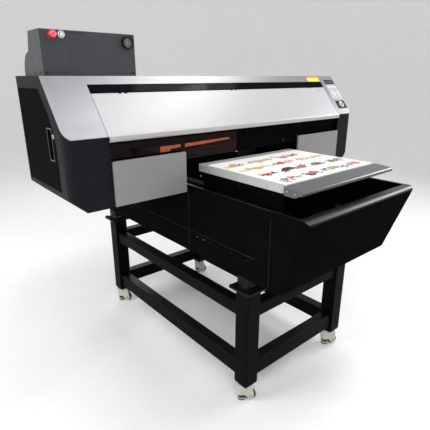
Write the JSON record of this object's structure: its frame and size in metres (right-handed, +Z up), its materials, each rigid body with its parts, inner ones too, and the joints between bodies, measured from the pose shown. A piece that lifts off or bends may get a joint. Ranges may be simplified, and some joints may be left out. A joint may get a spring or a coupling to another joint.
{
  "type": "flatbed uv printer",
  "caption": "Flatbed UV printer: wide gantry housing with hinged lid and side doors over a long base box, sliding bed with table, control cabinet, and a steel stand on levelling casters.",
  "frame": {"origin": "on the floor, under the middle of the machine's overall length and width", "axes": "+X along the gantry to the right as seen from the front, +Y to the back, away from the side where the bed comes out, +Z up"},
  "size_m": [1.812, 1.812, 1.602],
  "materials": {
    "stand_paint": "satin black powder coat",
    "base_paint": "satin black powder coat",
    "cap_plastic": "fine-textured charcoal",
    "door_gloss": "gloss black",
    "brushed_silver": "fine brushed",
    "lid_white": "gloss white-silver",
    "lip_grey": "satin",
    "window_black": "gloss",
    "amber": "translucent amber",
    "door_grey": "satin",
    "cabinet_slate": "satin",
    "machine_steel": "machined",
    "dark_steel": "satin",
    "beam_aluminium": "anodised",
    "table_aluminium": "satin anodised",
    "bar_grey": "satin",
    "print_white": "printed board",
    "belt_rubber": "toothed",
    "wheel_rubber": "smooth",
    "caster_ivory": "gloss ivory",
    "estop_red": "gloss",
    "button_white": "gloss",
    "gauge_white": "matt",
    "fitting_black": "satin"
  },
  "bodies": {
    "root": {"stand_legs": "stand_paint", "stand_rails": "stand_paint", "leg_heads": "dark_steel", "base_sides": "base_paint", "base_front_cowl": "base_paint", "base_back_cowl": "base_paint", "base_floor": "base_paint", "machine_frame": "dark_steel", "linear_rails": "machine_steel", "drive_motors": "dark_steel", "gantry_beam": "beam_aluminium", "end_cap_left": "cap_plastic", "end_cap_right": "cap_plastic", "silver_panel": "brushed_silver", "control_panel": "brushed_silver", "top_cover": "brushed_silver", "window_strip": "window_black", "rear_cover": "base_paint", "inner_covers": "base_paint", "uv_shield": "amber", "rear_cabinet": "cabinet_slate", "cabinet_fittings": "fitting_black", "power_inlet": "fitting_black", "carriage_belt": "belt_rubber", "capping_station": "fitting_black"},
    "bed_carriage": {"bed_carriage": "dark_steel", "lift_posts": "machine_steel"},
    "bed_screw": {"bed_screw": "machine_steel"},
    "bed_table": {"bed_platform": "base_paint", "vacuum_table": "table_aluminium", "print_panel": "print_white", "front_bar": "bar_grey"},
    "print_carriage": {"print_carriage": "dark_steel", "print_heads": "machine_steel"},
    "drive_pulley": {"drive_pulley": "machine_steel"},
    "idler_pulley": {"idler_pulley": "machine_steel"},
    "lid": {"lid": "lid_white", "lid_lip": "lip_grey"},
    "side_door_left": {"side_door_left": "door_gloss"},
    "side_door_right": {"side_door_right": "door_gloss"},
    "side_lock_left": {"side_lock_left": "machine_steel"},
    "side_lock_right": {"side_lock_right": "machine_steel"},
    "front_door_left": {"front_door_left": "door_grey"},
    "front_door_right": {"front_door_right": "door_grey"},
    "estop_button": {"estop_button": "estop_red"},
    "power_button": {"power_button": "button_white"},
    "gauge_needle": {"gauge_needle": "gauge_white"},
    "start_button": {"start_button": "machine_steel"},
    "swivel_front_left": {"swivel_front_left": "caster_ivory"},
    "wheel_front_left": {"wheel_front_left": "wheel_rubber"},
    "pad_front_left": {"pad_front_left": "machine_steel"},
    "swivel_front_right": {"swivel_front_right": "caster_ivory"},
    "wheel_front_right": {"wheel_front_right": "wheel_rubber"},
    "pad_front_right": {"pad_front_right": "machine_steel"},
    "swivel_back_left": {"swivel_back_left": "caster_ivory"},
    "wheel_back_left": {"wheel_back_left": "wheel_rubber"},
    "pad_back_left": {"pad_back_left": "machine_steel"},
    "swivel_back_right": {"swivel_back_right": "caster_ivory"},
    "wheel_back_right": {"wheel_back_right": "wheel_rubber"},
    "pad_back_right": {"pad_back_right": "machine_steel"}
  },
  "joints": [
    {"name": "bed_slide", "type": "slide", "parent": "root", "child": "bed_carriage", "axis": [0, 1, 0], "range_m": [0, 0.78]},
    {"name": "bed_lift", "type": "slide", "parent": "bed_carriage", "child": "bed_table", "axis": [0, 0, 1], "range_m": [-0.04, 0]},
    {"name": "bed_screw_spin", "type": "hinge", "parent": "root", "child": "bed_screw", "pos_m": [0, 0, 0.745], "axis": [0, 1, 0], "continuous": true},
    {"name": "carriage_slide", "type": "slide", "parent": "root", "child": "print_carriage", "axis": [1, 0, 0], "range_m": [0, 1.12]},
    {"name": "drive_pulley_spin", "type": "hinge", "parent": "root", "child": "drive_pulley", "pos_m": [0.72, 0.013, 1.222], "axis": [0, 1, 0], "continuous": true},
    {"name": "idler_pulley_spin", "type": "hinge", "parent": "root", "child": "idler_pulley", "pos_m": [-0.72, 0.013, 1.222], "axis": [0, 1, 0], "continuous": true},
    {"name": "lid_hinge", "type": "hinge", "parent": "root", "child": "lid", "pos_m": [0.013, -0.10749, 1.3718], "axis": [-1, 0, 0], "range_deg": [0, 85]},
    {"name": "side_door_left_hinge", "type": "hinge", "parent": "root", "child": "side_door_left", "pos_m": [-0.9015, 0.216, 1.2], "axis": [0, 0, -1], "range_deg": [0, 110]},
    {"name": "side_door_right_hinge", "type": "hinge", "parent": "root", "child": "side_door_right", "pos_m": [0.9015, 0.216, 1.2], "axis": [0, 0, 1], "range_deg": [0, 110]},
    {"name": "side_lock_left_turn", "type": "hinge", "parent": "side_door_left", "child": "side_lock_left", "pos_m": [-0.9, -0.122, 1.226], "axis": [-1, 0, 0], "range_deg": [0, 90]},
    {"name": "side_lock_right_turn", "type": "hinge", "parent": "side_door_right", "child": "side_lock_right", "pos_m": [0.9, -0.122, 1.226], "axis": [-1, 0, 0], "range_deg": [0, 90]},
    {"name": "front_door_left_hinge", "type": "hinge", "parent": "root", "child": "front_door_left", "pos_m": [-0.727, -0.2375, 1.037], "axis": [0, 0, -1], "range_deg": [0, 100]},
    {"name": "front_door_right_hinge", "type": "hinge", "parent": "root", "child": "front_door_right", "pos_m": [0.753, -0.2375, 1.037], "axis": [0, 0, 1], "range_deg": [0, 100]},
    {"name": "estop_press", "type": "slide", "parent": "root", "child": "estop_button", "axis": [0, 1, 0], "range_m": [0, 0.004], "stiffness_N_per_m": 600},
    {"name": "power_press", "type": "slide", "parent": "root", "child": "power_button", "axis": [0, 1, 0], "range_m": [0, 0.002], "stiffness_N_per_m": 400},
    {"name": "gauge_needle_turn", "type": "hinge", "parent": "root", "child": "gauge_needle", "pos_m": [-0.522, -0.034, 1.569], "axis": [0, -1, 0], "range_deg": [-135, 135], "stiffness_Nm_per_rad": 0.001},
    {"name": "start_press", "type": "slide", "parent": "root", "child": "start_button", "axis": [0, 0.7775, -0.6288], "range_m": [0, 0.0015], "stiffness_N_per_m": 500},
    {"name": "swivel_front_left_turn", "type": "hinge", "parent": "root", "child": "swivel_front_left", "pos_m": [-0.3265, -0.5865, 0.08], "axis": [0, 0, 1], "continuous": true},
    {"name": "wheel_front_left_spin", "type": "hinge", "parent": "swivel_front_left", "child": "wheel_front_left", "pos_m": [-0.30759, -0.60128, 0.025], "axis": [0.6157, 0.788, 0], "continuous": true},
    {"name": "pad_front_left_screw", "type": "slide", "parent": "swivel_front_left", "child": "pad_front_left", "axis": [0, 0, 1], "range_m": [-0.012, 0]},
    {"name": "swivel_front_right_turn", "type": "hinge", "parent": "root", "child": "swivel_front_right", "pos_m": [0.3265, -0.5865, 0.08], "axis": [0, 0, 1], "continuous": true},
    {"name": "wheel_front_right_spin", "type": "hinge", "parent": "swivel_front_right", "child": "wheel_front_right", "pos_m": [0.34729, -0.5985, 0.025], "axis": [0.5, 0.866, 0], "continuous": true},
    {"name": "pad_front_right_screw", "type": "slide", "parent": "swivel_front_right", "child": "pad_front_right", "axis": [0, 0, 1], "range_m": [-0.012, 0]},
    {"name": "swivel_back_left_turn", "type": "hinge", "parent": "root", "child": "swivel_back_left", "pos_m": [-0.3265, 0.5865, 0.08], "axis": [0, 0, 1], "continuous": true},
    {"name": "wheel_back_left_spin", "type": "hinge", "parent": "swivel_back_left", "child": "wheel_back_left", "pos_m": [-0.30953, 0.56953, 0.025], "axis": [0.7071, 0.7071, 0], "continuous": true},
    {"name": "pad_back_left_screw", "type": "slide", "parent": "swivel_back_left", "child": "pad_back_left", "axis": [0, 0, 1], "range_m": [-0.012, 0]},
    {"name": "swivel_back_right_turn", "type": "hinge", "parent": "root", "child": "swivel_back_right", "pos_m": [0.3265, 0.5865, 0.08], "axis": [0, 0, 1], "continuous": true},
    {"name": "wheel_back_right_spin", "type": "hinge", "parent": "swivel_back_right", "child": "wheel_back_right", "pos_m": [0.34616, 0.57273, 0.025], "axis": [0.5736, 0.8192, 0], "continuous": true},
    {"name": "pad_back_right_screw", "type": "slide", "parent": "swivel_back_right", "child": "pad_back_right", "axis": [0, 0, 1], "range_m": [-0.012, 0]}
  ],
  "couplings": [
    {"joint": "bed_screw_spin", "follows": "bed_slide", "rad_per_m": 157.08},
    {"joint": "drive_pulley_spin", "follows": "carriage_slide", "rad_per_m": 62.3},
    {"joint": "idler_pulley_spin", "follows": "carriage_slide", "rad_per_m": 62.3}
  ]
}
